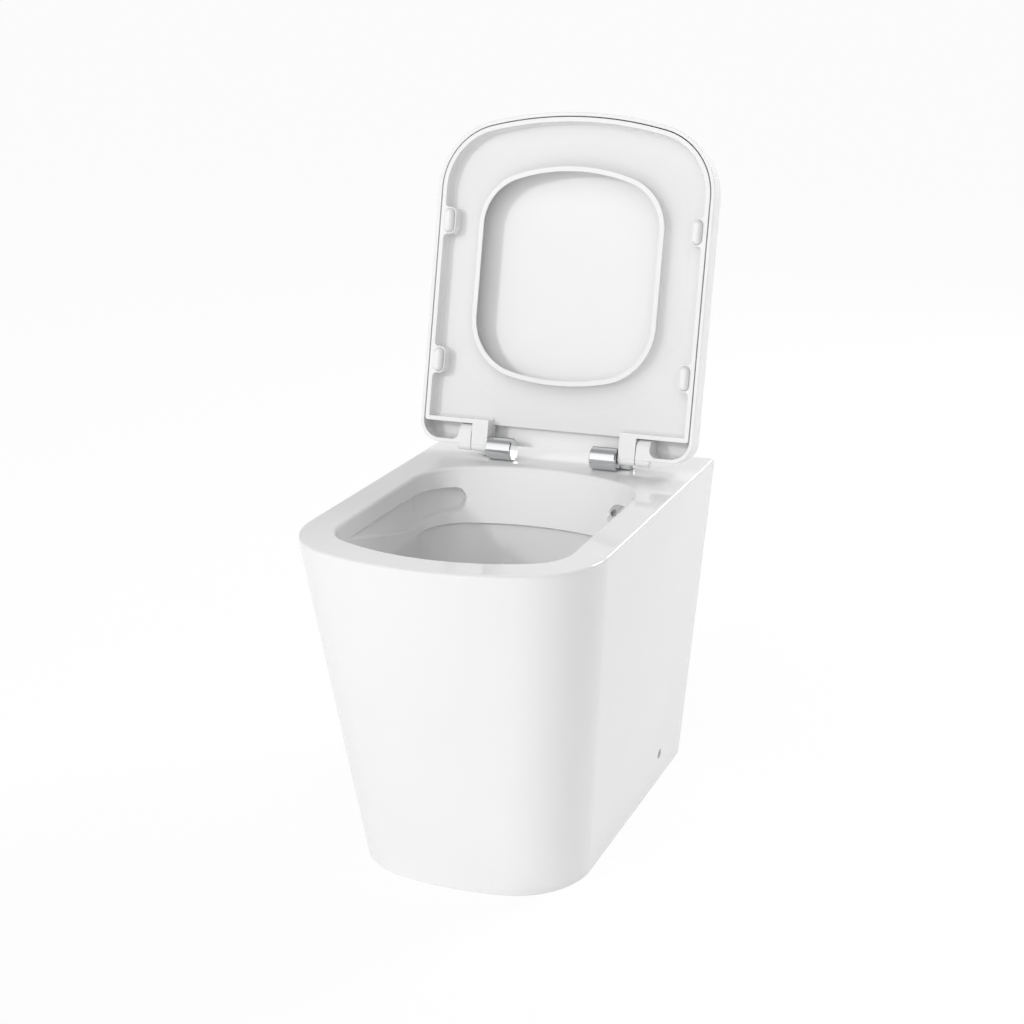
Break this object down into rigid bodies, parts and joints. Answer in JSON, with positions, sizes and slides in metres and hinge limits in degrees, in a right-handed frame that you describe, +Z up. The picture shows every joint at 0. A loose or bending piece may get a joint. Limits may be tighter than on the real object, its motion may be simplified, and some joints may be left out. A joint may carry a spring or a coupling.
{
  "type": "back to wall toilet",
  "caption": "Rimless back to wall toilet pan with side flush slots, wrap-over lid and seat raised, and chrome lift-off hinges with soft-close dampers.",
  "frame": {"origin": "on the floor, at the middle of the overall width and of the overall depth with lid and seat up", "axes": "+Z up, +Y towards the wall, +X to the right as seen from the front"},
  "size_m": [0.352, 0.5296, 0.8087],
  "materials": {
    "vitreous_china": "gloss glaze",
    "duroplast": "gloss",
    "chrome": "polished",
    "steel": "zinc plated",
    "white_nylon": "satin",
    "grey_plastic": "matte",
    "black_rubber": "matte"
  },
  "bodies": {
    "pan_and_fixings": {"pan_rim": "vitreous_china", "pan_skirt": "vitreous_china", "pan_bowl": "vitreous_china", "pan_trap": "vitreous_china", "pan_outlet": "vitreous_china", "pan_inlet": "vitreous_china", "inlet_seal": "black_rubber", "hinge_base_left": "chrome", "hinge_base_right": "chrome", "hinge_gasket_left": "black_rubber", "hinge_gasket_right": "black_rubber", "hinge_stud_left": "steel", "hinge_stud_right": "steel", "anchor_sleeve_left": "black_rubber", "anchor_sleeve_right": "black_rubber", "anchor_nut_left": "steel", "anchor_nut_right": "steel", "floor_bracket_left": "steel", "floor_bracket_right": "steel", "side_screw_left": "steel", "side_screw_right": "steel", "side_screw_bush_left": "white_nylon", "side_screw_bush_right": "white_nylon", "bracket_nut_left": "steel", "bracket_nut_right": "steel"},
    "hinge_barrels": {"hinge_barrel_left": "chrome", "hinge_barrel_right": "chrome", "seat_damper": "grey_plastic", "lid_damper": "grey_plastic", "latch_clip_left": "steel", "latch_clip_right": "steel"},
    "release_button_left": {"release_button_left": "chrome"},
    "release_button_right": {"release_button_right": "chrome"},
    "lid": {"lid": "duroplast", "lid_pin": "steel", "lid_bush": "white_nylon", "lid_buffer_left": "white_nylon", "lid_buffer_right": "white_nylon"},
    "seat": {"seat": "duroplast", "seat_pin": "steel", "seat_bush": "white_nylon", "seat_buffer_left_front": "white_nylon", "seat_buffer_right_front": "white_nylon", "seat_buffer_left_rear": "white_nylon", "seat_buffer_right_rear": "white_nylon"}
  },
  "joints": [
    {"name": "seat_lift_off", "type": "slide", "parent": "pan_and_fixings", "child": "hinge_barrels", "axis": [0, 0, 1], "range_m": [0, 0.03], "deforming": ["latch_clip_left", "latch_clip_right"]},
    {"name": "release_left", "type": "slide", "parent": "hinge_barrels", "child": "release_button_left", "axis": [-1, 0, 0], "range_m": [0, 0.0025], "stiffness_N_per_m": 600},
    {"name": "release_right", "type": "slide", "parent": "hinge_barrels", "child": "release_button_right", "axis": [1, 0, 0], "range_m": [0, 0.0025], "stiffness_N_per_m": 600},
    {"name": "lid_hinge", "type": "hinge", "parent": "hinge_barrels", "child": "lid", "pos_m": [0, 0.13635, 0.414], "axis": [-1, 0, 0], "range_deg": [-104.7, 0]},
    {"name": "seat_hinge", "type": "hinge", "parent": "lid", "child": "seat", "pos_m": [0, 0.13635, 0.414], "axis": [1, 0, 0], "range_deg": [0, 104.7]}
  ]
}
